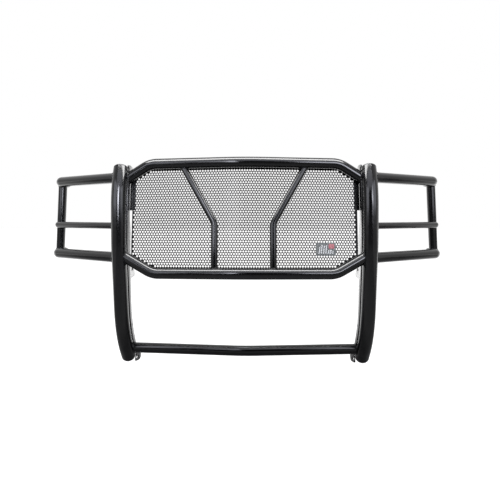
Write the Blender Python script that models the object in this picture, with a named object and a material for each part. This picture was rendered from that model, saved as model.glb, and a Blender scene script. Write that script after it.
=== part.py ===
"""Front grille guard for a full-size pickup truck.

Two bent uprights carry a framed screen, a lower crossbar and a three-bar wing before each
headlight. Metres, +Z up, front towards -Y, the same on both sides of X = 0.
"""

import math

import bmesh
import bpy
from mathutils import Vector

INCH = 0.0254
GAP = 0.0003  # left between pieces that touch
TUBE_SIDES = 16
ARC_STEP = 6.0  # degrees of bend between two rings of a tube

# Tubes: outside radius and wall.
UPRIGHT_R = 0.035
UPRIGHT_WALL = 0.003
FRAME_R = 2.0 * INCH / 2
BRACE_R = 1.25 * INCH / 2
CROSSBAR_R = 2.0 * INCH / 2
WING_R = 2.0 * INCH / 2
WING_BAR_R = 1.25 * INCH / 2
POST_R = 1.75 * INCH / 2
TUBE_WALL = 0.002
CAP_THICK = 0.008

# Uprights: the centre line from its top end down, as (line length or bend radius, turn).
UPRIGHT_X = 0.587
UPRIGHT_TOP_LEAN = 30.0
UPRIGHT_TOP = (0.0482, 0.971)
UPRIGHT_MOVES = ((0.360, 30), (0.125, 0), (0.500, 10), (0.267, 0), (0.450, 35), (0.047, 0))

# Web plates: flat, behind and just inside the uprights. Points are (y, z).
WEB_X = 0.549
WEB_THICK = 0.006
WEB_FRONT = 0.0152  # from the upright's centre line back to the plate's front edge
WEB_BACK = 0.050  # and to its rear edge, between the upper ear and the foot
WEB_REAR = (
    (0.0654, 0.971), (0.044, 0.9834), (0.048, 0.9874), (0.070, 0.9895), (0.095, 0.9895),
    (0.126, 0.986), (0.135, 0.977), (0.130, 0.930),
    (0.119, 0.905), (0.092, 0.825), (0.071, 0.770), (0.071, 0.725),
    (0.104, 0.655), (0.119, 0.585), (0.150, 0.505), (0.181, 0.468), (0.186, 0.455), (0.179, 0.446),
    (0.104, 0.446), (0.095, 0.438),
)
WEB_FOOT = (
    (0.228, 0.088), (0.240, 0.066), (0.285, 0.046), (0.328, 0.031), (0.338, 0.019), (0.333, 0.006),
    (0.318, 0.0), (0.290, 0.0), (0.222, 0.011), (0.213, 0.0145), (0.216, 0.0225), (0.233, 0.043),
)
WEB_HOLES = (
    ("upper_slot", 0.118, 0.486, 0.034, 0.013),
    ("small_hole", 0.124, 0.2155, 0.010, 0.010),
    ("lower_slot", 0.247, 0.0245, 0.054, 0.013),
)

# Screen frame: bowed forward at its middle, tilted back about its lower tube, and curled
# further back towards the top. V is the height up the frame, from the lower tube's centre line.
SCREEN_Y = -0.058
SCREEN_Z = 0.481
SCREEN_TILT = 3.8
SCREEN_CURL = 0.034  # how far the curl takes the top tube back
BOW_SLOPE = 0.133
BOW_ROUND = 0.100  # half width of the bow's rounded middle
FRAME_END_X = 0.575
FRAME_HIGH = 0.520
FRAME_TUBES = (("top", FRAME_HIGH, 0.4487, 0.4408), ("bottom", 0.0, 0.427, 0.0843))
FRAME_BEND_R = 0.115
BRACE_ROUTE = ((0.298, FRAME_HIGH), (0.137, 0.233), (0.137, 0.0))
BRACE_BEND_R = 0.060
BRACE_DEPTH = 0.009  # behind the frame tubes' centre lines, so that it bears on the screen

# The screen and what is fixed to it.
SCREEN_THICK = 0.002
SCREEN_SIDE_X = 0.539
SCREEN_LAP = 0.008  # how far the screen reaches past the frame tubes' centre lines
GUSSET_OUTLINE = ((0.526, 0.299), (0.552, 0.299), (0.552, 0.486), (0.526, 0.499))
GUSSET_THICK = 0.005
BADGE_X = 0.386
BADGE_V = 0.114
BADGE_SIZE = (0.094, 0.061)
BADGE_THICK = 0.0025
BADGE_CORNER_R = 0.008
RIVET_REACH = 0.039
RIVET_R = 0.003
RIVET_HIGH = 0.0015

# Lower crossbar.
CROSSBAR_END_Y = 0.185
CROSSBAR_Z = 0.088
CROSSBAR_SLOPE = 0.105
CROSSBAR_ROUND = 0.060

# Wings: each bar's name, height, how far out its corner lies, and its radius.
WING_BARS = (
    ("upper", 0.9265, 0.984, WING_R),
    ("middle", 0.700, 0.9946, WING_BAR_R),
    ("lower", 0.551, 0.998, WING_R),
)
WING_CORNER_Y = 0.337
WING_RETURN = 19.0  # degrees that each bar's end turns inwards from straight back
WING_BEND_R = 0.045
WING_BAR_BEND_R = 0.022
WING_END_Y = 0.400
POST_Y = 0.365
POST_SINK = 0.010  # how far short of the bars' centre lines a post ends

BLACK_COAT = ((0.012, 0.012, 0.014), 0.32, 0.0)
BLACK_PLATE = ((0.016, 0.016, 0.018), 0.40, 0.0)
GREY_SCREEN = ((0.05, 0.05, 0.053), 0.45, 0.0)
BLACK_PLASTIC = ((0.02, 0.02, 0.02), 0.55, 0.0)
PALE_METAL = ((0.55, 0.55, 0.56), 0.35, 1.0)

SIDES = (("left", -1), ("right", 1))


def start_empty():
    for old in list(bpy.data.objects):
        bpy.data.objects.remove(old, do_unlink=True)


def paint(name, colour, roughness, metallic):
    material = bpy.data.materials.new(name)
    material.use_nodes = True
    shader = material.node_tree.nodes["Principled BSDF"]
    shader.inputs["Base Color"].default_value = (*colour, 1.0)
    shader.inputs["Roughness"].default_value = roughness
    shader.inputs["Metallic"].default_value = metallic
    return material


def empty(name, parent=None):
    holder = bpy.data.objects.new(name, None)
    holder.parent = parent
    bpy.context.collection.objects.link(holder)
    return holder


def loft(name, rings, parent, look, hollow=False):
    """A closed solid through rings of points, with flat ends, or joined end to end if hollow."""
    grown = bmesh.new()
    levels = [[grown.verts.new(point) for point in ring] for ring in rings]
    pairs = list(zip(levels, levels[1:]))
    if hollow:
        pairs.append((levels[-1], levels[0]))
    else:
        grown.faces.new(levels[0])
        grown.faces.new(levels[-1])
    for low, high in pairs:
        for i in range(len(low)):
            grown.faces.new((low[i - 1], low[i], high[i], high[i - 1]))
    bmesh.ops.recalc_face_normals(grown, faces=grown.faces)
    mesh = bpy.data.meshes.new(name)
    grown.to_mesh(mesh)
    grown.free()
    mesh.shade_smooth()
    mesh.set_sharp_from_angle(angle=math.radians(40))
    piece = bpy.data.objects.new(name, mesh)
    piece.parent = parent
    bpy.context.collection.objects.link(piece)
    if look:
        mesh.materials.append(paint(f"{name}_finish", *look))
    else:
        piece.hide_render = True
        piece.display_type = "WIRE"
    return piece


def circle(radius, sides=TUBE_SIDES):
    turns = [2 * math.pi * i / sides for i in range(sides)]
    return [(radius * math.cos(turn), radius * math.sin(turn)) for turn in turns]


def rings_along(points, radius):
    first = (points[1] - points[0]).normalized()
    side = Vector((0, 1, 0)) if abs(first.z) > 0.5 else Vector((0, 0, 1))
    rings = []
    for i, point in enumerate(points):
        before = (point - points[max(i - 1, 0)]).normalized()
        after = (points[min(i + 1, len(points) - 1)] - point).normalized()
        along = (before + after).normalized()
        side = (side - along * side.dot(along)).normalized()
        other = along.cross(side)
        rings.append([point + side * a + other * b for a, b in circle(radius)])
    return rings


def tube(name, points, radius, wall, parent):
    """An open-ended round tube along points."""
    inside = rings_along(points, radius - wall)
    return loft(name, rings_along(points, radius) + inside[::-1], parent, BLACK_COAT, hollow=True)


def rod_cutter(name, points, radius, parent):
    return loft(f"{name}_cutter", rings_along(points, radius + GAP), parent, None)


def cap(name, points, radius, parent):
    """A domed cap over the tube end where points begin."""
    rings = [[Vector((a, b, GAP)) for a, b in circle(radius)]]
    for share, height in ((1.0, 0.35), (0.93, 0.75), (0.75, 1.0)):
        rings.append([Vector((a, b, height * CAP_THICK)) for a, b in circle(share * radius)])
    piece = loft(name, rings, parent, BLACK_PLASTIC)
    piece.location = points[0]
    piece.rotation_euler = (points[0] - points[1]).to_track_quat("Z", "Y").to_euler()
    return piece


def plate(name, outline, x_from, x_to, parent, look):
    """A flat plate across X, from an outline of (y, z) points."""
    sides = [[(x, y, z) for y, z in outline] for x in (x_from, x_to)]
    return loft(name, sides, parent, look)


def cut(piece, cutter):
    boolean = piece.modifiers.new(cutter.name, "BOOLEAN")
    boolean.operation = "DIFFERENCE"
    boolean.solver = "EXACT"
    boolean.object = cutter


def rounded(corners, radius):
    """A route through corners, with each inner one swept into an arc of the given radius."""
    points = [Vector(corners[0])]
    for before, corner, after in zip(corners, corners[1:], corners[2:]):
        corner = Vector(corner)
        to_before = (Vector(before) - corner).normalized()
        to_after = (Vector(after) - corner).normalized()
        turn = math.pi - to_before.angle(to_after)
        centre = corner + (to_before + to_after).normalized() * radius / math.cos(turn / 2)
        first = corner + to_before * radius * math.tan(turn / 2) - centre
        last = corner + to_after * radius * math.tan(turn / 2) - centre
        steps = math.ceil(math.degrees(turn) / ARC_STEP)
        for i in range(steps + 1):
            share = i / steps * turn
            arm = first * math.sin(turn - share) + last * math.sin(share)
            points.append(centre + arm / math.sin(turn))
    points.append(Vector(corners[-1]))
    return points


def finer(points):
    """The same route with no stretch longer than 6 cm, so that it can follow a curved surface."""
    fine = [Vector(points[0])]
    for start, end in zip(points, points[1:]):
        start = Vector(start)
        stretch = Vector(end) - start
        count = math.ceil(stretch.length / 0.06)
        fine += [start + stretch * i / count for i in range(1, count + 1)]
    return fine


def bow(x, slope, half_width):
    """How far behind its middle a bowed piece lies at x."""
    reach = abs(x)
    if reach < half_width:
        return slope * reach * reach / (2 * half_width)
    return slope * (reach - half_width / 2)


def on_screen(x, v, depth=0.0):
    """A point of the bowed screen frame, depth behind its tubes' centre lines."""
    lean = math.atan(BOW_SLOPE * max(-1.0, min(1.0, x / BOW_ROUND)))
    curl = SCREEN_CURL * (v / FRAME_HIGH) ** 2
    back = bow(x, BOW_SLOPE, BOW_ROUND) + curl + depth * math.cos(lean)
    return Vector((x - depth * math.sin(lean), back, v))


def across(half_width, count):
    """Evenly spaced places from +half_width to -half_width."""
    return [half_width * (1 - 2 * i / count) for i in range(count + 1)]


def upright_line():
    """An upright's centre line as (y, z) points from the top down."""
    points = [Vector(UPRIGHT_TOP)]
    heading = math.radians(-UPRIGHT_TOP_LEAN)
    for size, turn in UPRIGHT_MOVES:
        steps = max(1, math.ceil(turn / ARC_STEP))
        half = math.radians(turn) / steps / 2
        step = 2 * size * math.sin(half) if turn else size
        for _ in range(steps):
            heading += half
            points.append(points[-1] + Vector((math.sin(heading), -math.cos(heading))) * step)
            heading += half
    return points


def behind_upright(offset, z_from, z_to):
    """The upright's centre line moved back by offset, between two heights, from the top down."""
    line = upright_line()
    moved = []
    for i, point in enumerate(line):
        along = line[min(i + 1, len(line) - 1)] - line[max(i - 1, 0)]
        back = Vector((-along.y, along.x)).normalized()
        if z_from < point.y < z_to:
            moved.append(point + back * offset)
    return moved


def upright_y(z):
    """Where an upright's centre line lies at height z."""
    line = upright_line()
    high, low = next(pair for pair in zip(line, line[1:]) if pair[1].y <= z)
    return low.x + (high.x - low.x) * (z - low.y) / (high.y - low.y)


def web_outline(front):
    """Up the rear edge from the foot, over the top and down the front edge behind the upright."""
    up_rear = behind_upright(WEB_BACK, 0.08, 0.40)[::-1]
    return [*WEB_FOOT[::-1], *up_rear, *WEB_REAR[::-1], *behind_upright(front, -1, 2)]


def slot(y, z, length, height):
    """A slot's outline, round at both ends, and round all over if as long as high."""
    points = []
    for a, b in circle(height / 2, 16):
        shift = math.copysign((length - height) / 2, a) if abs(a) > 1e-9 else (length - height) / 2
        points.append((y + a + shift, z + b))
    return points


def build_upright(side, sign, parent):
    points = [Vector((sign * UPRIGHT_X, y, z)) for y, z in upright_line()]
    tube(f"upright_{side}", points, UPRIGHT_R, UPRIGHT_WALL, parent)
    cap(f"upright_top_cap_{side}", points, UPRIGHT_R, parent)
    cap(f"upright_foot_cap_{side}", points[::-1], UPRIGHT_R, parent)
    return rod_cutter(f"upright_{side}", points, UPRIGHT_R, parent)


def build_web(side, sign, parent):
    inner = sign * WEB_X
    outer = inner + sign * WEB_THICK
    web = plate(f"web_plate_{side}", web_outline(WEB_FRONT), inner, outer, parent, BLACK_PLATE)
    for name, y, z, length, height in WEB_HOLES:
        outline = slot(y, z, length, height)
        hole = plate(f"{name}_{side}_cutter", outline, inner - 0.01, inner + 0.02, parent, None)
        cut(web, hole)
    outline = web_outline(WEB_FRONT - GAP)
    return plate(f"web_{side}_cutter", outline, inner - sign * GAP, inner + sign * 0.06, parent, None)


def build_frame(parent, ends):
    """The two tubes above and below the screen, notched over the uprights and web plates."""
    cutters = []
    for name, v, corner_x, end_v in FRAME_TUBES:
        corners = [(FRAME_END_X, end_v), (corner_x, v), (BOW_ROUND, v)]
        right = finer(rounded(corners, FRAME_BEND_R))[:-1]
        middle = [(x, v) for x in across(BOW_ROUND, 8)]
        left = [(-x, w) for x, w in right[::-1]]
        points = [on_screen(x, w) for x, w in (*right, *middle, *left)]
        piece = tube(f"frame_{name}_tube", points, FRAME_R, TUBE_WALL, parent)
        for end in ends:
            cut(piece, end)
        cutters.append(rod_cutter(f"frame_{name}", points, FRAME_R, parent))
    return cutters


def build_brace(side, sign, parent, ends):
    route = finer(rounded(BRACE_ROUTE, BRACE_BEND_R))
    points = [on_screen(sign * x, v, BRACE_DEPTH) for x, v in route]
    brace = tube(f"brace_{side}", points, BRACE_R, TUBE_WALL, parent)
    for end in ends:
        cut(brace, end)


def screen_edge(x, v, corner_x, end_v, out):
    """The height of the screen's edge at x, just outside a frame tube's centre line."""
    slope = (end_v - v) / (FRAME_END_X - corner_x)
    square = out * math.hypot(1, slope)
    flat = v + out
    sloped = v + slope * (abs(x) - corner_x) + square
    return min(flat, sloped) if out > 0 else max(flat, sloped)


def build_screen(parent):
    (_, *top), (_, *bottom) = FRAME_TUBES
    places = [SCREEN_SIDE_X, 0.51, 0.48, 0.455, 0.44, 0.425, 0.41, 0.25]
    places = [*places, *across(BOW_ROUND, 8), *(-x for x in places[::-1])]
    front = FRAME_R + GAP
    rings = []
    for x in places:
        low = screen_edge(x, *bottom, -SCREEN_LAP)
        high = screen_edge(x, *top, SCREEN_LAP)
        heights = [low + (high - low) * i / 9 for i in range(10)]
        face = [on_screen(x, v, front) for v in heights]
        back = [on_screen(x, v, front + SCREEN_THICK) for v in heights]
        rings.append(face + back[::-1])
    loft("grille_screen", rings, parent, GREY_SCREEN)


def build_gusset(side, sign, parent):
    front = FRAME_R + 2 * GAP + SCREEN_THICK
    depths = (front, front + GUSSET_THICK)
    outline = finer([*GUSSET_OUTLINE, GUSSET_OUTLINE[0]])[:-1]
    faces = [[on_screen(sign * x, v, depth) for x, v in outline] for depth in depths]
    loft(f"corner_gusset_{side}", faces, parent, BLACK_PLATE)


def build_badge(parent):
    """A plain nameplate, and the two rivets that hold it on the screen."""
    straight_x = BADGE_SIZE[0] / 2 - BADGE_CORNER_R
    straight_v = BADGE_SIZE[1] / 2 - BADGE_CORNER_R
    corners = []
    for degrees in range(15, 360, 30):
        a = math.cos(math.radians(degrees))
        b = math.sin(math.radians(degrees))
        x = math.copysign(straight_x, a) + BADGE_CORNER_R * a
        corners.append((x, math.copysign(straight_v, b) + BADGE_CORNER_R * b))
    depths = (FRAME_R - BADGE_THICK, FRAME_R)
    rings = [[on_screen(BADGE_X + x, BADGE_V + v, depth) for x, v in corners] for depth in depths]
    loft("badge", rings, parent, PALE_METAL)
    for side, sign in SIDES:
        x = BADGE_X + sign * RIVET_REACH
        top = FRAME_R - BADGE_THICK - GAP
        rings = []
        for radius, depth in ((1.0, top), (0.9, top - 0.6 * RIVET_HIGH), (0.55, top - RIVET_HIGH)):
            spots = circle(radius * RIVET_R, 12)
            rings.append([on_screen(x + a, BADGE_V + b, depth) for a, b in spots])
        loft(f"badge_rivet_{side}", rings, parent, PALE_METAL)


def build_crossbar(parent, ends):
    end = bow(WEB_X, CROSSBAR_SLOPE, CROSSBAR_ROUND)
    places = [FRAME_END_X, *across(CROSSBAR_ROUND, 4), -FRAME_END_X]
    points = []
    for x in places:
        back = CROSSBAR_END_Y + bow(x, CROSSBAR_SLOPE, CROSSBAR_ROUND) - end
        points.append(Vector((x, back, CROSSBAR_Z)))
    crossbar = tube("lower_crossbar", points, CROSSBAR_R, TUBE_WALL, parent)
    for piece in ends:
        cut(crossbar, piece)


def build_wing(side, sign, parent, upright_cutter):
    inward = math.tan(math.radians(WING_RETURN))
    bars = {}
    for name, z, x, radius in WING_BARS:
        middle = name == "middle"
        end_y = POST_Y if middle else WING_END_Y
        end_x = x - inward * (end_y - WING_CORNER_Y)
        corners = [(end_x, end_y), (x, WING_CORNER_Y), (UPRIGHT_X + 0.005, upright_y(z))]
        bend = WING_BAR_BEND_R if middle else WING_BEND_R
        points = [Vector((sign * a, b, z)) for a, b in rounded(corners, bend)]
        piece = tube(f"wing_{name}_tube_{side}", points, radius, TUBE_WALL, parent)
        cut(piece, upright_cutter)
        bars[name] = (piece, points, x - inward * (POST_Y - WING_CORNER_Y), z)
    build_post(side, sign, parent, bars)


def build_post(side, sign, parent, bars):
    """The post between the upper and lower bars, and the caps on those bars' rear ends."""
    ends = []
    for name, sink in (("upper", -POST_SINK), ("lower", POST_SINK)):
        _, points, x, z = bars[name]
        cap(f"wing_{name}_end_cap_{side}", points, WING_R, parent)
        ends.append(Vector((sign * x, POST_Y, z + sink)))
    post = tube(f"wing_post_{side}", ends, POST_R, TUBE_WALL, parent)
    for name in ("upper", "lower"):
        cut(post, rod_cutter(f"wing_{name}_{side}", bars[name][1], WING_R, parent))
    cut(bars["middle"][0], rod_cutter(f"wing_post_{side}", ends, POST_R, parent))


def stand_on_floor(guard):
    """Moves the guard so that its box stands on Z = 0 with its middle over the origin."""
    bpy.context.view_layer.update()
    spots = []
    for piece in bpy.data.objects:
        if piece.type == "MESH" and not piece.hide_render:
            spots += [piece.matrix_world @ corner.co for corner in piece.data.vertices]
    depths = [spot.y for spot in spots]
    guard.location.y = -(min(depths) + max(depths)) / 2
    guard.location.z = -min(spot.z for spot in spots)


def build_guard():
    start_empty()
    guard = empty("guard")
    screen = empty("screen_frame", guard)
    screen.location = (0, SCREEN_Y, SCREEN_Z)
    screen.rotation_euler.x = -math.radians(SCREEN_TILT)
    ends = []
    for side, sign in SIDES:
        upright = build_upright(side, sign, guard)
        build_wing(side, sign, guard, upright)
        ends += [upright, build_web(side, sign, guard)]
        build_gusset(side, sign, screen)
    frame = build_frame(screen, ends)
    for side, sign in SIDES:
        build_brace(side, sign, screen, frame)
    build_screen(screen)
    build_badge(screen)
    build_crossbar(guard, ends)
    stand_on_floor(guard)


build_guard()
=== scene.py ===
"""The front grille guard's looks: smooth tubes, welds, the punched screen and powder coat."""

import math

import bmesh
import bpy
from mathutils import Matrix, Vector
from mathutils.bvhtree import BVHTree
from mathutils.geometry import delaunay_2d_cdt


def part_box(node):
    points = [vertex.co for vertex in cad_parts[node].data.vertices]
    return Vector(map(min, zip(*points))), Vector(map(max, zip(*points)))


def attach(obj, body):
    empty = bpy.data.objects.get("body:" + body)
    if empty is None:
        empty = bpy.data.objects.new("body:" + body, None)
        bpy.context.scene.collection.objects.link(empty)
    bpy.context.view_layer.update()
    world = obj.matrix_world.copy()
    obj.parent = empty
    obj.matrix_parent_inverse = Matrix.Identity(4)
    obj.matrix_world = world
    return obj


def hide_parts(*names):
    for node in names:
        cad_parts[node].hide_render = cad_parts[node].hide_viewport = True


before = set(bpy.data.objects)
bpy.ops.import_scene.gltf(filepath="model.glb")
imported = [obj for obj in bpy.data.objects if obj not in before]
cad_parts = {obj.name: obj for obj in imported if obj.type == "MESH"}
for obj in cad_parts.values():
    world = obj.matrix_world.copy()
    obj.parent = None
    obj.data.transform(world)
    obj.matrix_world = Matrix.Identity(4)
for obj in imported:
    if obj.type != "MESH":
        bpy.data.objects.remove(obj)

for startup in ("Cube", "Light", "Camera"):
    if startup in bpy.data.objects:
        bpy.data.objects.remove(bpy.data.objects[startup])
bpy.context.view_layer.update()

# The CAD model's own sizes, in metres.
GAP = 0.0003
UPRIGHT_R = 0.035
FRAME_R = 0.0254
BRACE_R = 0.015875
CROSSBAR_R = 0.0254
WING_R = 0.0254
WING_BAR_R = 0.015875
POST_R = 0.022225
UPRIGHT_X = 0.587
UPRIGHT_TOP_LEAN = 30.0
UPRIGHT_TOP = (0.0482, 0.971)
UPRIGHT_MOVES = ((0.360, 30), (0.125, 0), (0.500, 10), (0.267, 0), (0.450, 35), (0.047, 0))
WEB_X = 0.549
SCREEN_Y = -0.058
SCREEN_Z = 0.481
SCREEN_TILT = math.radians(3.8)
SCREEN_CURL = 0.034
BOW_SLOPE = 0.133
BOW_ROUND = 0.100
FRAME_END_X = 0.575
FRAME_HIGH = 0.520
FRAME_TUBES = (("top", FRAME_HIGH, 0.4487, 0.4408), ("bottom", 0.0, 0.427, 0.0843))
FRAME_BEND_R = 0.115
BRACE_ROUTE = ((0.298, FRAME_HIGH), (0.137, 0.233), (0.137, 0.0))
BRACE_BEND_R = 0.060
BRACE_DEPTH = 0.009
SCREEN_THICK = 0.002
SCREEN_SIDE_X = 0.539
SCREEN_LAP = 0.008
EDGE_PLACES = (0.0, 0.02, 0.04, 0.06, 0.08, 0.10, 0.40, 0.42, 0.44, 0.46, 0.50, SCREEN_SIDE_X)
BADGE_X = 0.386
BADGE_V = 0.114
BADGE_SIZE = (0.094, 0.061)
BADGE_THICK = 0.0025
BADGE_CORNER_R = 0.008
RIVET_REACH = 0.039
RIVET_R = 0.003
CROSSBAR_END_Y = 0.185
CROSSBAR_Z = 0.088
CROSSBAR_SLOPE = 0.105
CROSSBAR_ROUND = 0.060
WING_BARS = (
    ("upper", 0.9265, 0.984, WING_R),
    ("middle", 0.700, 0.9946, WING_BAR_R),
    ("lower", 0.551, 0.998, WING_R),
)
WING_ROOT_X = UPRIGHT_X + 0.005
WING_CORNER_Y = 0.337
WING_RETURN = math.tan(math.radians(19.0))
WING_BEND_R = 0.045
WING_BAR_BEND_R = 0.022
WING_END_Y = 0.400
POST_Y = 0.365
POST_SINK = 0.010

# The screen's punching. The two shifts are of even and odd rows, in pitches.
HOLE_PITCH = 0.0127
ROW_PITCH = 0.01157
ROW_SHIFTS = (-0.18, 0.32)
HOLE_ROWS = 40
HOLE_COLUMNS = 43  # to each side of the middle one
FIRST_ROW = 0.0338
HOLE_MARGIN = 0.0262
HOLE_REACH = 0.531
HOLE_R = 0.0048
HOLE_SIDES = 12

# The badge's chamfer and raised shapes, which the CAD model leaves out.
BADGE_EDGE = 0.0008
BADGE_RELIEF = (-0.0002, 0.0009, 0.0006)  # a raised shape's foot, top and chamfer
BADGE_RIBS = (0.012, 0.020, 0.016, 0.020, -0.004, -0.004, -0.008)  # the height of each rib's top
BADGE_RIB_FOOT = (-0.036, -0.022)
BADGE_RIB_STEP = 0.0105
BADGE_RIB_WIDE = 0.006
BADGE_RIB_SLANT = 0.004
BADGE_TAB = (0.013, 0.011, 0.003, (0.026, 0.014))  # half sizes, corner radius and middle

# The welds. Each is found by rays that start up to WELD_APPROACH back along its tube.
WELD_R = 0.0034
THIN_WELD_R = 0.0028
BRACE_WELD_R = 0.003
WELD_RAYS = 96
WELD_STEP = 0.0011
WELD_APPROACH = 0.12
RIPPLE_PITCH = 0.0032
RIPPLE = 0.13

ORANGE_PEEL = 0.00004
PLATE_EDGE = 0.0012
GUSSET_EDGE = 0.0008
TUBE_SIDES = 40
ARC_STEP = 2.5
FRAME_BOW_STEPS = 20
CROSSBAR_BOW_STEPS = 12

# The studio.
COOL = (0.88, 0.9, 1)
CAMERA_PLACE = (0.043, -2.6, 0.741)
CAMERA_TURN = 1.8
SENSOR = 36.0
FOCAL_SHARE = 1.118  # the focal length over the sensor's width
LENS_SHIFT = (0.029, -0.066)

SIDES = (("left", -1), ("right", 1))

# The CAD model is moved along Y so that its box is centred on the origin.
SHIFT = Vector((0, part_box("upright_left")[0].y + UPRIGHT_R, 0))


# Materials

def node_maker(material):
    """Functions that add a node to a material or world, and that link two sockets."""
    tree = material.node_tree

    def make(kind, **settings):
        made = tree.nodes.new(kind)
        for name, value in settings.items():
            if hasattr(made, name):
                setattr(made, name, value)
            else:
                made.inputs[name].default_value = value
        return made

    return make, tree.links.new


def noise(make, link, scale, detail=4.0):
    """Noise laid out in the object's own coordinates, in metres."""
    place = make("ShaderNodeTexCoord")
    spots = make("ShaderNodeTexNoise", Scale=scale, Detail=detail)
    link(place.outputs["Object"], spots.inputs["Vector"])
    return spots.outputs["Fac"]


def ramp(make, link, value, low, high, first, last):
    """value, run from first to last as it goes from low to high."""
    spread = make("ShaderNodeMapRange")
    for i, bound in enumerate((low, high, first, last), 1):
        spread.inputs[i].default_value = bound
    link(value, spread.inputs[0])
    return spread.outputs[0]


def coat(name, slot, dark, worn, rough, metallic=0.0, shine=0.5):
    """Powder coat or plastic: orange peel, uneven gloss, faint dust and paler rubbed edges."""
    material = bpy.data.materials.new(name)
    material["slot"] = slot
    material.use_nodes = True
    make, link = node_maker(material)
    shader = material.node_tree.nodes["Principled BSDF"]
    shader.inputs["Metallic"].default_value = metallic
    shader.inputs["Specular IOR Level"].default_value = shine
    mix = make("ShaderNodeMix", data_type="RGBA")
    mix.inputs[6].default_value = (*dark, 1)
    mix.inputs[7].default_value = (*worn, 1)
    edges = make("ShaderNodeNewGeometry").outputs["Pointiness"]
    rubbed = ramp(make, link, edges, 0.53, 0.62, 0.0, 0.8)
    dust = ramp(make, link, noise(make, link, 9.0, 8.0), 0.45, 0.75, 0.0, 0.25)
    both = make("ShaderNodeMath", operation="MAXIMUM")
    link(rubbed, both.inputs[0])
    link(dust, both.inputs[1])
    link(both.outputs[0], mix.inputs[0])
    link(mix.outputs[2], shader.inputs["Base Color"])
    gloss = noise(make, link, 28.0, 6.0)
    link(ramp(make, link, gloss, 0.3, 0.7, rough[0], rough[1]), shader.inputs["Roughness"])
    bump = make("ShaderNodeBump", Strength=1.0, Distance=ORANGE_PEEL)
    link(noise(make, link, 420.0, 2.0), bump.inputs["Height"])
    link(bump.outputs["Normal"], shader.inputs["Normal"])
    return material


BLACK = (0.001, 0.001, 0.0013)
BLACK_WORN = (0.005, 0.005, 0.0055)
GREY_WORN = (0.010, 0.010, 0.010)
TUBE_COAT = coat("tube_powder_coat", "tube_coat", BLACK, BLACK_WORN, (0.12, 0.18))
PLATE_BLACK = (0.002, 0.002, 0.0023)
PLATE_COAT = coat("plate_powder_coat", "plate_coat", PLATE_BLACK, (0.008, 0.008, 0.008), (0.22, 0.30))
SCREEN_BLACK = (0.003, 0.003, 0.0033)
SCREEN_COAT = coat("screen_powder_coat", "screen_coat", SCREEN_BLACK, GREY_WORN, (0.20, 0.30), shine=0.12)
WELD_COAT = coat("weld_powder_coat", "tube_coat", BLACK, BLACK_WORN, (0.20, 0.28), shine=0.25)
CAP_PLASTIC = coat("cap_plastic", "end_cap", (0.003, 0.003, 0.003), GREY_WORN, (0.34, 0.44))
BADGE_DARK = coat("badge_dark", "badge_metal", (0.05, 0.058, 0.055), (0.2, 0.2, 0.2), (0.30, 0.40))
SILVER = (0.24, 0.27, 0.255)
BADGE_PALE = coat("badge_silver", "badge_metal", SILVER, (0.4, 0.4, 0.4), (0.32, 0.44), metallic=0.3)
BADGE_RED = coat("badge_red", "badge_metal", (0.25, 0.035, 0.05), (0.4, 0.12, 0.12), (0.25, 0.35))


# Meshes

def add_piece(name, grown, material, nodes=(), sharp=35):
    """A new visible piece from a bmesh, riding on the guard and standing for CAD nodes."""
    bmesh.ops.recalc_face_normals(grown, faces=grown.faces)
    mesh = bpy.data.meshes.new(name)
    grown.to_mesh(mesh)
    grown.free()
    mesh.shade_smooth()
    mesh.set_sharp_from_angle(angle=math.radians(sharp))
    mesh.materials.append(material)
    piece = bpy.data.objects.new(name, mesh)
    bpy.context.collection.objects.link(piece)
    if nodes:
        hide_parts(*nodes)
    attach(piece, "root")
    return piece


def skin(grown, rings, loop=False):
    """Joins rings of points by faces, with flat ends or the last ring joined to the first."""
    levels = [[grown.verts.new(point) for point in ring] for ring in rings]
    pairs = list(zip(levels, levels[1:]))
    if loop:
        pairs.append((levels[-1], levels[0]))
    else:
        grown.faces.new(levels[0])
        grown.faces.new(levels[-1])
    for low, high in pairs:
        for i in range(len(low)):
            grown.faces.new((low[i - 1], low[i], high[i], high[i - 1]))


def circle(radius, sides=TUBE_SIDES):
    """Evenly spaced (a, b) points on a circle."""
    turns = [2 * math.pi * i / sides for i in range(sides)]
    return [(radius * math.cos(turn), radius * math.sin(turn)) for turn in turns]


def rings_along(points, radii, sides=TUBE_SIDES, loop=False):
    """Rings round a route, one radius each."""
    count = len(points)
    first = (points[1] - points[0]).normalized()
    side = Vector((0, 1, 0)) if abs(first.z) > 0.5 else Vector((0, 0, 1))
    rings = []
    for i, point in enumerate(points):
        if loop:
            along = (points[(i + 1) % count] - points[i - 1]).normalized()
        else:
            before = (point - points[max(i - 1, 0)]).normalized()
            after = (points[min(i + 1, count - 1)] - point).normalized()
            along = (before + after).normalized()
        side = (side - along * side.dot(along)).normalized()
        other = along.cross(side)
        rings.append([point + side * a + other * b for a, b in circle(radii[i], sides)])
    return rings


def tube(name, points, radius, node):
    """A round tube; its ends lie inside its neighbours or under caps."""
    points = [point + SHIFT for point in points]
    grown = bmesh.new()
    skin(grown, rings_along(points, [radius] * len(points)))
    piece = add_piece(name, grown, TUBE_COAT, [node])
    return piece, points, radius


def lathe(name, profile, place, material, node):
    """A turned piece from (radius, height) pairs, closed at its middle."""
    grown = bmesh.new()
    rings = [[place @ Vector((a, b, high)) for a, b in circle(radius)] for radius, high in profile]
    skin(grown, rings)
    add_piece(name, grown, material, [node], 50)


# Routes, as in the CAD model

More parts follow.
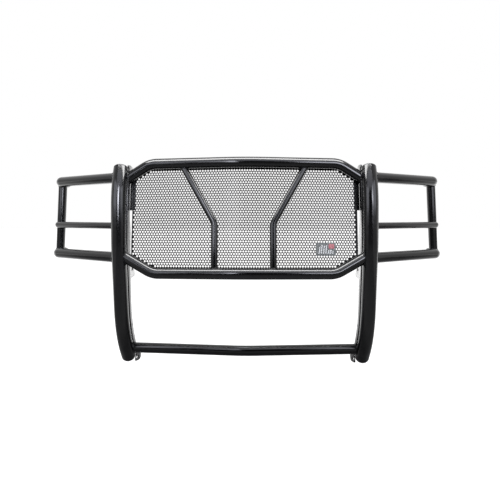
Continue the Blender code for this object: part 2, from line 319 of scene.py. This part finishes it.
def rounded(corners, radius):
    """A route through corners, with each inner corner turned into an arc."""
    points = [Vector(corners[0])]
    for before, corner, after in zip(corners, corners[1:], corners[2:]):
        corner = Vector(corner)
        to_before = (Vector(before) - corner).normalized()
        to_after = (Vector(after) - corner).normalized()
        turn = math.pi - to_before.angle(to_after)
        centre = corner + (to_before + to_after).normalized() * radius / math.cos(turn / 2)
        first = corner + to_before * radius * math.tan(turn / 2) - centre
        last = corner + to_after * radius * math.tan(turn / 2) - centre
        steps = math.ceil(math.degrees(turn) / ARC_STEP)
        for i in range(steps + 1):
            share = i / steps * turn
            arm = first * math.sin(turn - share) + last * math.sin(share)
            points.append(centre + arm / math.sin(turn))
    points.append(Vector(corners[-1]))
    return points


def finer(points, longest=0.03):
    """The same route, with no stretch longer than longest."""
    fine = [Vector(points[0])]
    for start, end in zip(points, points[1:]):
        start = Vector(start)
        stretch = Vector(end) - start
        count = math.ceil(stretch.length / longest)
        fine += [start + stretch * i / count for i in range(1, count + 1)]
    return fine


def bow(x, slope, half_width):
    """How far back a bowed route is at x: straight arms with a rounded middle."""
    reach = abs(x)
    if reach < half_width:
        return slope * reach * reach / (2 * half_width)
    return slope * (reach - half_width / 2)


def on_screen(x, v, depth=0.0):
    """A point of the screen frame, depth behind its tubes' centre lines, before SHIFT."""
    lean = math.atan(BOW_SLOPE * max(-1.0, min(1.0, x / BOW_ROUND)))
    curl = SCREEN_CURL * (v / FRAME_HIGH) ** 2
    back = bow(x, BOW_SLOPE, BOW_ROUND) + curl + depth * math.cos(lean)
    y = SCREEN_Y + back * math.cos(SCREEN_TILT) + v * math.sin(SCREEN_TILT)
    z = SCREEN_Z - back * math.sin(SCREEN_TILT) + v * math.cos(SCREEN_TILT)
    return Vector((x - depth * math.sin(lean), y, z))


def across(half_width, count):
    """Evenly spaced places from half_width down to -half_width."""
    return [half_width * (1 - 2 * i / count) for i in range(count + 1)]


def upright_line():
    """An upright's centre line from its top end down, as (y, z) points."""
    points = [Vector(UPRIGHT_TOP)]
    heading = math.radians(-UPRIGHT_TOP_LEAN)
    for size, turn in UPRIGHT_MOVES:
        steps = max(1, math.ceil(turn / ARC_STEP))
        half = math.radians(turn) / steps / 2
        step = 2 * size * math.sin(half) if turn else size
        for _ in range(steps):
            heading += half
            points.append(points[-1] + Vector((math.sin(heading), -math.cos(heading))) * step)
            heading += half
    return points


def upright_y(z):
    """Where an upright's centre line is at the height z."""
    line = upright_line()
    high, low = next(pair for pair in zip(line, line[1:]) if pair[1].y <= z)
    return low.x + (high.x - low.x) * (z - low.y) / (high.y - low.y)


# Caps and welds

def cap(name, points, radius, node):
    """A moulded end cap with a rim, a rounded shoulder and a dimpled middle, as lathe pairs."""
    outward = (points[0] - points[1]).to_track_quat("Z", "Y").to_matrix().to_4x4()
    place = Matrix.Translation(points[0]) @ outward
    rim = [(radius, GAP), (radius, 0.0022), (0.985 * radius, 0.0026), (0.985 * radius, 0.0031)]
    shoulder = []
    for i in range(9):
        turn = math.radians(90 * i / 8)
        shoulder.append((radius * (0.76 + 0.225 * math.cos(turn)), 0.0031 + 0.0047 * math.sin(turn)))
    middle = [(0.30 * radius, 0.0079), (0.26 * radius, 0.0075), (0.08 * radius, 0.0072)]
    lathe(name, rim + shoulder + middle, place, CAP_PLASTIC, node)


def tree_of(piece):
    """A search tree of a piece's faces, for casting rays at it."""
    mesh = piece.data
    return BVHTree.FromPolygons([v.co for v in mesh.vertices], [p.vertices for p in mesh.polygons])


def bead(grown, points, radius):
    """A rippled weld bead round a closed line of points."""
    lengths = [0.0]
    for a, b in zip(points, points[1:]):
        lengths.append(lengths[-1] + (b - a).length)
    radii = [radius * (1.0 + RIPPLE * abs(math.sin(math.pi * run / RIPPLE_PITCH))) for run in lengths]
    skin(grown, rings_along(points, radii, 8, True), loop=True)


def evened(points, step):
    """The same closed line with points a constant step apart."""
    route = points + points[:1]
    spots = []
    left = 0.0
    for a, b in zip(route, route[1:]):
        stretch = (b - a).length
        while left < stretch:
            spots.append(a.lerp(b, left / stretch))
            left += step
        left -= stretch
    return spots


def ring_weld(grown, start, heading, radius, targets, size):
    """A bead where a tube that runs from start along heading meets targets, if it does all round."""
    heading = heading.normalized()
    side = heading.orthogonal().normalized()
    other = heading.cross(side)
    points = []
    for a, b in circle(radius, WELD_RAYS):
        origin = start + side * a + other * b
        hits = [target.ray_cast(origin, heading, 0.2) for target in targets]
        hits = [hit for hit in hits if hit[0] is not None]
        if hits:
            points.append(min(hits, key=lambda hit: hit[3])[0])
    if len(points) == WELD_RAYS:
        bead(grown, evened(points, WELD_STEP), size)


# The guard

def refine(name, node, material, edge):
    """The CAD plate with its facets merged and its sharp edges rounded."""
    grown = bmesh.new()
    grown.from_mesh(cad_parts[node].data)
    bmesh.ops.remove_doubles(grown, verts=grown.verts, dist=1e-5)
    bmesh.ops.dissolve_limit(grown, angle_limit=math.radians(0.3), verts=grown.verts, edges=grown.edges)
    sharp = [e for e in grown.edges if len(e.link_faces) == 2 and e.calc_face_angle() > math.radians(50)]
    bmesh.ops.bevel(
        grown, geom=sharp, offset=edge, segments=3, profile=0.5, affect="EDGES", clamp_overlap=True
    )
    add_piece(name, grown, material, [node], 30)


def make_uprights():
    """Both uprights with their caps, web plates and gussets."""
    made = {}
    for side, sign in SIDES:
        line = [Vector((sign * UPRIGHT_X, y, z)) for y, z in upright_line()]
        made[side] = tube(f"upright_tube_{side}", line, UPRIGHT_R, f"upright_{side}")
        points = made[side][1]
        cap(f"upright_top_plug_{side}", points, UPRIGHT_R, f"upright_top_cap_{side}")
        cap(f"upright_foot_plug_{side}", points[::-1], UPRIGHT_R, f"upright_foot_cap_{side}")
        refine(f"web_{side}", f"web_plate_{side}", PLATE_COAT, PLATE_EDGE)
        refine(f"gusset_{side}", f"corner_gusset_{side}", PLATE_COAT, GUSSET_EDGE)
    return made


def make_frame():
    """The tubes above and below the screen, and the braces in front of it."""
    made = {}
    for name, v, corner_x, end_v in FRAME_TUBES:
        right = finer(rounded([(FRAME_END_X, end_v), (corner_x, v), (BOW_ROUND, v)], FRAME_BEND_R))[:-1]
        middle = [(x, v) for x in across(BOW_ROUND, FRAME_BOW_STEPS)]
        route = [*right, *middle, *((-x, w) for x, w in right[::-1])]
        points = [on_screen(x, w) for x, w in route]
        made[name] = tube(f"screen_{name}_tube", points, FRAME_R, f"frame_{name}_tube")
    for side, sign in SIDES:
        route = finer(rounded(BRACE_ROUTE, BRACE_BEND_R))
        points = [on_screen(sign * x, v, BRACE_DEPTH) for x, v in route]
        made[side] = tube(f"screen_brace_{side}", points, BRACE_R, f"brace_{side}")
    return made


def make_crossbar():
    """The bowed tube between the feet of the uprights."""
    end = bow(WEB_X, CROSSBAR_SLOPE, CROSSBAR_ROUND)
    points = []
    for x in (FRAME_END_X, *across(CROSSBAR_ROUND, CROSSBAR_BOW_STEPS), -FRAME_END_X):
        back = CROSSBAR_END_Y + bow(x, CROSSBAR_SLOPE, CROSSBAR_ROUND) - end
        points.append(Vector((x, back, CROSSBAR_Z)))
    return tube("crossbar_tube", points, CROSSBAR_R, "lower_crossbar")


def make_wings():
    """The bars beside each upright, the end caps behind them and the post that joins them."""
    made = {}
    for side, sign in SIDES:
        ends = []
        for name, z, x, radius in WING_BARS:
            middle = name == "middle"
            end_y = POST_Y if middle else WING_END_Y
            start = (x - WING_RETURN * (end_y - WING_CORNER_Y), end_y)
            corners = [start, (x, WING_CORNER_Y), (WING_ROOT_X, upright_y(z))]
            bend = WING_BAR_BEND_R if middle else WING_BEND_R
            points = [Vector((sign * a, b, z)) for a, b in rounded(corners, bend)]
            made[name, side] = tube(f"wing_{name}_bar_{side}", points, radius, f"wing_{name}_tube_{side}")
            if not middle:
                cap(f"wing_{name}_plug_{side}", made[name, side][1], WING_R, f"wing_{name}_end_cap_{side}")
                sink = POST_SINK if name == "lower" else -POST_SINK
                ends.append(Vector((sign * (x - WING_RETURN * (POST_Y - WING_CORNER_Y)), POST_Y, z + sink)))
        made["post", side] = tube(f"wing_upright_{side}", ends, POST_R, f"wing_post_{side}")
    return made


def make_welds(uprights, braced, crossbar, wings):
    """A bead at each tube joint, all of one side in one piece."""
    trees = {}

    def tree(piece):
        return trees.setdefault(piece.name, tree_of(piece))

    def join(grown, part, reverse, targets, size=WELD_R):
        """A weld where the last stretch of a tube meets what it runs into."""
        _, points, radius = part
        points = points[::-1] if reverse else points
        inner = points[-1]
        before = points[0]
        if len(points) > 2:
            before = next(p for p in points[::-1] if (p - inner).length > WELD_APPROACH)
        heading = (points[-1] - points[-2]).normalized()
        start = inner - heading * min((before - inner).length, WELD_APPROACH)
        ring_weld(grown, start, heading, radius, targets, size)

    for side, sign in SIDES:
        grown = bmesh.new()
        upright = tree(uprights[side][0])
        web = tree(bpy.data.objects[f"web_{side}"])
        for name, *_ in WING_BARS:
            size = THIN_WELD_R if name == "middle" else WELD_R
            join(grown, wings[name, side], False, [upright], size)
        post = wings["post", side]
        join(grown, post, True, [tree(wings["upper", side][0])])
        join(grown, post, False, [tree(wings["lower", side][0])])
        for name in ("top", "bottom"):
            join(grown, braced[name], sign > 0, [upright, web])
            join(grown, braced[side], name == "top", [tree(braced[name][0])], BRACE_WELD_R)
        join(grown, crossbar, sign > 0, [upright, web])
        add_piece(f"welds_{side}", grown, WELD_COAT, sharp=80)


def screen_limits(x, margin):
    """The lowest and highest v at x that stay margin inside the frame tubes' centre lines."""
    (_, top_v, top_x, top_end), (_, low_v, low_x, low_end) = FRAME_TUBES
    found = []
    for v, corner_x, end_v, out in ((low_v, low_x, low_end, -margin), (top_v, top_x, top_end, margin)):
        slope = (end_v - v) / (FRAME_END_X - corner_x)
        sloped = v + slope * (abs(x) - corner_x) - out * math.hypot(1, slope)
        found.append((v - out, sloped))
    return max(found[0]), min(found[1])


def punched():
    """The hole centres in the screen, as (x, v) pairs."""
    spots = []
    for row in range(HOLE_ROWS):
        v = FIRST_ROW + row * ROW_PITCH
        for column in range(-HOLE_COLUMNS, HOLE_COLUMNS + 1):
            x = (column + ROW_SHIFTS[row % 2]) * HOLE_PITCH
            low, high = screen_limits(x, HOLE_MARGIN)
            if low < v < high and abs(x) < HOLE_REACH:
                spots.append((x, v))
    return spots


def make_screen():
    """The punched sheet: its front, its back, and walls round its rim and its holes."""
    places = [-x for x in EDGE_PLACES[:0:-1]] + [*EDGE_PLACES]
    outline = [(x, screen_limits(x, -SCREEN_LAP)[0]) for x in places]
    outline += [(x, screen_limits(x, -SCREEN_LAP)[1]) for x in places[::-1]]
    corners = [Vector(p) for p in finer([*outline, outline[0]], 0.04)[:-1]]
    loops = [list(range(len(corners)))]
    for x, v in punched():
        first = len(corners)
        corners += [Vector((x + a, v + b)) for a, b in circle(HOLE_R, HOLE_SIDES)]
        loops.append(list(range(first, first + HOLE_SIDES)))
    flat, _, faces, _, _, face_origins = delaunay_2d_cdt(corners, [], loops, 1, 1e-7)
    kept = [face for face, origin in zip(faces, face_origins) if origin == [0]]
    runs = {(i, j) for face in kept for i, j in zip(face, [*face[1:], face[0]])}
    grown = bmesh.new()
    front = FRAME_R + GAP
    used = sorted({i for face in kept for i in face})
    fronts = {i: grown.verts.new(on_screen(*flat[i], front) + SHIFT) for i in used}
    backs = {i: grown.verts.new(on_screen(*flat[i], front + SCREEN_THICK) + SHIFT) for i in used}
    for face in kept:
        grown.faces.new([fronts[i] for i in face])
        grown.faces.new([backs[i] for i in face[::-1]])
    for i, j in sorted(runs):
        if (j, i) not in runs:
            grown.faces.new((fronts[j], fronts[i], backs[i], backs[j]))
    add_piece("punched_screen", grown, SCREEN_COAT, ["grille_screen"], 30)


def on_badge(a, b, lift):
    """A point on the badge, lift in front of its face."""
    return on_screen(BADGE_X + a, BADGE_V + b, FRAME_R - BADGE_THICK - lift) + SHIFT


def badge_slab(name, outline, low, high, edge, material, nodes=()):
    """A raised shape on the badge with a chamfered edge."""
    middle = Vector((sum(a for a, _ in outline), sum(b for _, b in outline))) / len(outline)
    inset = [Vector(p) + (middle - Vector(p)).normalized() * edge for p in outline]
    rings = [[on_badge(a, b, low) for a, b in outline]]
    rings.append([on_badge(a, b, high - edge * 0.7) for a, b in outline])
    rings.append([on_badge(a, b, high) for a, b in inset])
    grown = bmesh.new()
    skin(grown, rings)
    add_piece(name, grown, material, nodes, 25)


def soft_box(half_a, half_b, radius, middle=(0, 0)):
    """A rectangle's outline with round corners."""
    points = []
    for ca, cb, first in ((1, 1, 0), (-1, 1, 90), (-1, -1, 180), (1, -1, 270)):
        for i in range(6):
            turn = math.radians(first + 18 * i)
            a = middle[0] + ca * (half_a - radius) + radius * math.cos(turn)
            b = middle[1] + cb * (half_b - radius) + radius * math.sin(turn)
            points.append((a, b))
    return points


def make_badge():
    """A plain nameplate: dark ground, slanted grey ribs and a red tab, with no lettering."""
    half_a, half_b = BADGE_SIZE[0] / 2, BADGE_SIZE[1] / 2
    ground = soft_box(half_a, half_b, BADGE_CORNER_R)
    badge_slab("badge_plate", ground, -BADGE_THICK, 0.0, BADGE_EDGE, BADGE_DARK, ["badge"])
    first, foot = BADGE_RIB_FOOT
    for i, high in enumerate(BADGE_RIBS):
        a = first + BADGE_RIB_STEP * i
        top = a + BADGE_RIB_SLANT
        rib = [(a, foot), (a + BADGE_RIB_WIDE, foot), (top + BADGE_RIB_WIDE, high), (top, high)]
        badge_slab(f"badge_rib_{i}", rib, *BADGE_RELIEF, BADGE_PALE)
    badge_slab("badge_tab", soft_box(*BADGE_TAB), *BADGE_RELIEF, BADGE_RED)
    for side, sign in SIDES:
        x = BADGE_X + sign * RIVET_REACH
        top = FRAME_R - BADGE_THICK - GAP
        grown = bmesh.new()
        rings = []
        for i in range(7):
            turn = math.radians(88 * i / 6)
            radius = RIVET_R * math.cos(turn)
            high = RIVET_R / 2 * math.sin(turn)
            rings.append([on_screen(x + a, BADGE_V + b, top - high) + SHIFT for a, b in circle(radius, 20)])
        skin(grown, rings)
        add_piece(f"badge_pin_{side}", grown, BADGE_PALE, [f"badge_rivet_{side}"], 50)


# The studio

def make_floor():
    """A grey floor that the camera sees as white, and that glows behind the guard."""
    grown = bmesh.new()
    bmesh.ops.create_grid(grown, x_segments=1, y_segments=1, size=30.0)
    mesh = bpy.data.meshes.new("floor")
    grown.to_mesh(mesh)
    grown.free()
    floor = bpy.data.objects.new("floor", mesh)
    floor.location.z = -0.0005
    bpy.context.collection.objects.link(floor)
    pale = bpy.data.materials.new("pale_floor")
    pale.use_nodes = True
    make, link = node_maker(pale)
    shader = pale.node_tree.nodes["Principled BSDF"]
    shader.inputs["Base Color"].default_value = (0.16, 0.16, 0.16, 1)
    shader.inputs["Roughness"].default_value = 0.9
    shader.inputs["Emission Color"].default_value = (1, 1, 1, 1)
    place = make("ShaderNodeTexCoord")
    split = make("ShaderNodeSeparateXYZ")
    link(place.outputs["Object"], split.inputs[0])
    glow = make("ShaderNodeMix")
    link(make("ShaderNodeLightPath").outputs["Is Camera Ray"], glow.inputs[0])
    link(ramp(make, link, split.outputs["Y"], 0.3, 1.0, 0.0, 1.4), glow.inputs[2])
    glow.inputs[3].default_value = 1.0
    link(glow.outputs[0], shader.inputs["Emission Strength"])
    mesh.materials.append(pale)


def make_world():
    """White to the camera. It lights the guard from behind and above, and is dark in front of it."""
    world = bpy.data.worlds.new("studio")
    bpy.context.scene.world = world
    world.use_nodes = True
    make, link = node_maker(world)
    ground = world.node_tree.nodes["Background"]
    place = make("ShaderNodeTexCoord")
    split = make("ShaderNodeSeparateXYZ")
    link(place.outputs["Generated"], split.inputs[0])
    level = ramp(make, link, split.outputs["Y"], -0.45, 0.35, 0.03, 1.0)
    above = ramp(make, link, split.outputs["Z"], 0.45, 0.85, 0.0, 0.8)
    both = make("ShaderNodeMath", operation="MAXIMUM")
    link(level, both.inputs[0])
    link(above, both.inputs[1])
    seen = make("ShaderNodeLightPath")
    pick = make("ShaderNodeMath", operation="MAXIMUM")
    link(both.outputs[0], pick.inputs[0])
    link(seen.outputs["Is Camera Ray"], pick.inputs[1])
    link(pick.outputs[0], ground.inputs["Strength"])
    ground.inputs["Color"].default_value = (1, 1, 1, 1)


def light(name, place, target, size, radiance, colour=(1, 1, 1), spread=180):
    """A soft panel that looks as bright as radiance from in front, and fades to the sides if narrow."""
    lamp = bpy.data.lights.new(name, "AREA")
    lamp.shape = "RECTANGLE"
    lamp.size, lamp.size_y = size
    lamp.energy = radiance * math.pi * size[0] * size[1]
    if spread < 180:
        half = math.radians(spread / 2)
        lamp.spread = 2 * half
        lamp.energy *= 1 - half / math.tan(half)
    lamp.color = colour
    holder = bpy.data.objects.new(name, lamp)
    holder.location = place
    holder.rotation_euler = (Vector(target) - Vector(place)).to_track_quat("-Z", "Y").to_euler()
    holder.visible_camera = False
    bpy.context.collection.objects.link(holder)


def make_lights():
    """Strips over the guard, one panel for each upright, and pale fill from the sides and rear."""
    light("overhead", (0, -0.33, 1.75), (0, -0.33, 0), (1.9, 0.42), 17)
    light("front_high", (0, -1.3, 1.9), (0, -0.15, 0.9), (2.6, 0.9), 1.7, COOL)
    light("front_left", (-0.42, -1.4, 1.15), (-UPRIGHT_X, -0.2, 0.84), (0.46, 0.74), 30, COOL, 60)
    light("front_right", (0.93, -1.4, 1.15), (UPRIGHT_X, -0.2, 0.84), (0.4, 0.74), 18, COOL, 30)
    light("behind", (0, 0.15, 1.75), (0, 0.15, 0), (1.6, 0.22), 40, COOL, 14)
    light("rear", (0, 2.6, 0.7), (0, 0, 0.5), (1.3, 1.3), 1.1)
    for side, sign in SIDES:
        upright = (sign * UPRIGHT_X, -0.2, 0.85)
        light(f"fill_{side}", (sign * 2.0, -1.7, 1.45), upright, (2.1, 1.3), 2.6, COOL)
        light(f"flat_{side}", (sign * 1.3, -0.9, 0.9), (0, -0.6, 0.8), (1.6, 1.6), 0.3)


def make_camera():
    """A level camera 2.6 m in front of the uprights, just right of the middle, slightly turned."""
    lens = bpy.data.cameras.new("camera")
    lens.sensor_width = SENSOR
    lens.lens = FOCAL_SHARE * SENSOR
    lens.shift_x, lens.shift_y = LENS_SHIFT
    camera = bpy.data.objects.new("camera", lens)
    camera.location = Vector(CAMERA_PLACE) + SHIFT
    camera.rotation_euler = (math.radians(90), 0, math.radians(CAMERA_TURN))
    bpy.context.collection.objects.link(camera)
    bpy.context.scene.camera = camera


uprights = make_uprights()
braced = make_frame()
crossbar = make_crossbar()
wings = make_wings()
make_welds(uprights, braced, crossbar, wings)
make_screen()
make_badge()
make_floor()
make_world()
make_lights()
make_camera()
bpy.context.scene.view_settings.view_transform = "Standard"
